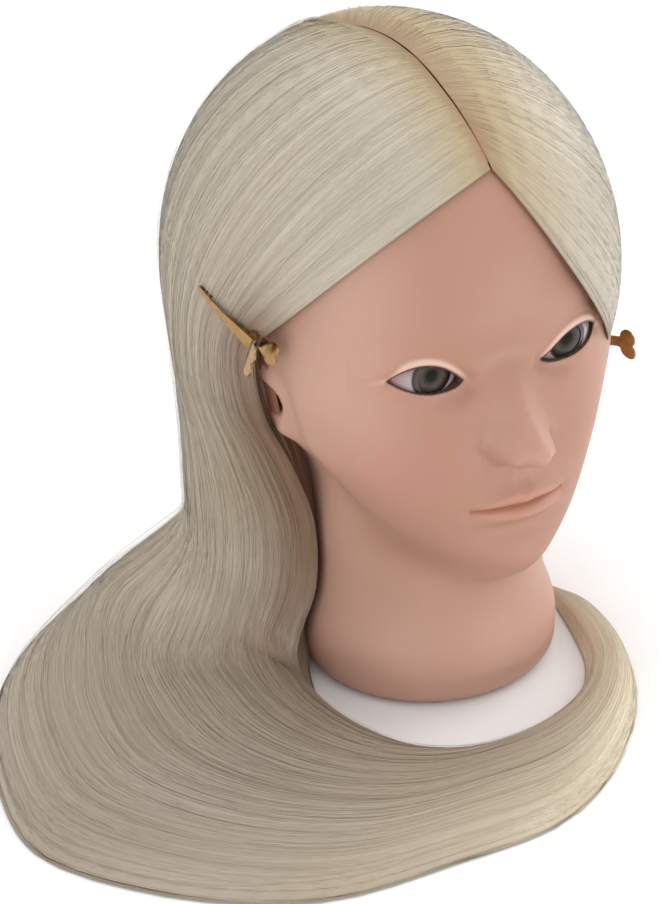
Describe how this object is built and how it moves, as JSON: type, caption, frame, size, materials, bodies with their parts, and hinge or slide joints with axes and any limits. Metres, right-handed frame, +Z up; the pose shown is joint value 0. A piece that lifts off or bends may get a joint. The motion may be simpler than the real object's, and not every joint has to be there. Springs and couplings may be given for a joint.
{
  "type": "mannequin training head",
  "caption": "Life-size hairdressing training head with a moulded face and neck, glass-look eyes, very long straight hair looped round the neck, and a sprung clip at each temple.",
  "frame": {"origin": "centre of the neck's flat bottom face, which is also the mouth of the clamp socket", "axes": "+Z up through the crown, the face looks along -Y, the mannequin's own right side is -X"},
  "size_m": [0.2758, 0.2623, 0.2512],
  "materials": {
    "soft_skin": "matte",
    "scalp": "matte",
    "foam": "matte",
    "base_plastic": "satin",
    "screw_steel": "satin",
    "eye_white": "gloss",
    "iris_print": "gloss",
    "clear_cornea": "polished",
    "gilt_clip": "polished",
    "clip_wire": "polished",
    "hair": "satin"
  },
  "bodies": {
    "root": {"head_skin": "soft_skin", "rooted_scalp": "scalp", "foam_core": "foam", "neck_base_plate": "base_plastic", "clamp_sleeve": "base_plastic", "base_screws": "screw_steel", "right_eye_shell": "eye_white", "right_iris": "iris_print", "right_cornea": "clear_cornea", "right_clip_inner_lever": "gilt_clip", "right_clip_pin": "clip_wire", "right_clip_spring": "clip_wire", "left_eye_shell": "eye_white", "left_iris": "iris_print", "left_cornea": "clear_cornea", "left_clip_inner_lever": "gilt_clip", "left_clip_pin": "clip_wire", "left_clip_spring": "clip_wire", "hair_crown_right": "hair", "hair_crown_left": "hair", "hair_fall": "hair", "floor_hair_side": "hair", "floor_hair_corner": "hair", "floor_hair_front": "hair", "floor_hair_right": "hair", "floor_hair_tip": "hair"},
    "right_clip_lever": {"right_clip_outer_lever": "gilt_clip"},
    "left_clip_lever": {"left_clip_outer_lever": "gilt_clip"}
  },
  "joints": [
    {"name": "right_clip_open", "type": "hinge", "parent": "root", "child": "right_clip_lever", "pos_m": [-0.0802, -0.005, 0.1584], "axis": [0.1447, -0.2992, 0.9432], "range_deg": [0, 28], "stiffness_Nm_per_rad": 0.02, "springref_deg": -34.38, "deforming": ["right_clip_spring"]},
    {"name": "left_clip_open", "type": "hinge", "parent": "root", "child": "left_clip_lever", "pos_m": [0.0715, -0.0085, 0.121], "axis": [0.1526, 0.0523, -0.9869], "range_deg": [0, 28], "stiffness_Nm_per_rad": 0.02, "springref_deg": -34.38, "deforming": ["left_clip_spring"]}
  ]
}
